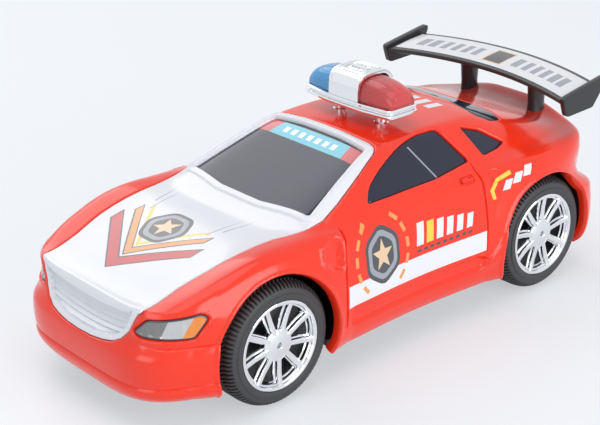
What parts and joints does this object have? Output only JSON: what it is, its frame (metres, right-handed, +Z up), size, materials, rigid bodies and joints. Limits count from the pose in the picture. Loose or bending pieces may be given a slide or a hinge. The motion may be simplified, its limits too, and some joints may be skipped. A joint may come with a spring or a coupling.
{
  "type": "toy police car",
  "caption": "Friction-drive toy police coupe: red shell with white bonnet, dark glazing, roof light bar, rear wing, plated wheels, and a flywheel gearbox on the rear axle.",
  "frame": {"origin": "on the floor under the middle of the overall box, midway between nose and tail", "axes": "+X towards the nose, +Y towards the car's left side, +Z up"},
  "size_m": [0.18, 0.08, 0.0747],
  "materials": {
    "red_body": "glossy moulded red",
    "white_panel": "glossy moulded white",
    "dark_glazing": "glossy dark grey",
    "lamp_lens": "glossy clear grey",
    "tail_lens": "glossy deep red",
    "chassis_plastic": "satin black",
    "steel": "bright drawn steel",
    "gearbox_plastic": "satin pale grey",
    "gear_plastic": "satin ivory",
    "flywheel_metal": "dull grey",
    "plated_plastic": "bright plated plastic",
    "plated_rim": "bright plated plastic",
    "blue_lens": "glossy tinted blue",
    "red_lens": "glossy tinted red",
    "wing_plastic": "satin black",
    "tyre": "matte dark grey"
  },
  "bodies": {
    "car": {"body_shell": "red_body", "bonnet_panel": "white_panel", "window_insert": "dark_glazing", "headlight_left": "lamp_lens", "headlight_right": "lamp_lens", "tail_lamp_left": "tail_lens", "tail_lamp_right": "tail_lens", "chassis_pan": "chassis_plastic", "front_axle_clip": "chassis_plastic", "chassis_screws": "steel", "gearbox_screws": "steel", "clip_screws": "steel", "gearbox_case": "gearbox_plastic", "gearbox_cover": "gearbox_plastic", "idler_shaft": "steel", "lightbar_base": "plated_plastic", "lightbar_cover": "plated_plastic", "blue_lens": "blue_lens", "red_lens": "red_lens", "rear_wing": "wing_plastic"},
    "front_wheels": {"front_axle": "steel", "rim_front_left": "plated_rim", "rim_front_right": "plated_rim", "tyre_front_left": "tyre", "tyre_front_right": "tyre"},
    "rear_wheels": {"rear_axle": "steel", "rim_rear_left": "plated_rim", "rim_rear_right": "plated_rim", "tyre_rear_left": "tyre", "tyre_rear_right": "tyre", "axle_gear": "gear_plastic"},
    "idler": {"idler_gear": "gear_plastic"},
    "flywheel_set": {"flywheel": "flywheel_metal", "flywheel_shaft": "steel"}
  },
  "joints": [
    {"name": "front_axle_spin", "type": "hinge", "parent": "car", "child": "front_wheels", "pos_m": [0.0495, 0, 0.01845], "axis": [0, 1, 0], "continuous": true},
    {"name": "rear_axle_spin", "type": "hinge", "parent": "car", "child": "rear_wheels", "pos_m": [-0.06, 0, 0.01845], "axis": [0, 1, 0], "continuous": true},
    {"name": "idler_spin", "type": "hinge", "parent": "car", "child": "idler", "pos_m": [-0.05215, 0, 0.02504], "axis": [0, 1, 0], "continuous": true},
    {"name": "flywheel_spin", "type": "hinge", "parent": "car", "child": "flywheel_set", "pos_m": [-0.04109, 0, 0.028], "axis": [0, 1, 0], "continuous": true}
  ],
  "couplings": [
    {"joint": "idler_spin", "follows": "rear_axle_spin", "ratio": -1.8333},
    {"joint": "flywheel_spin", "follows": "rear_axle_spin", "ratio": 3.9722}
  ]
}
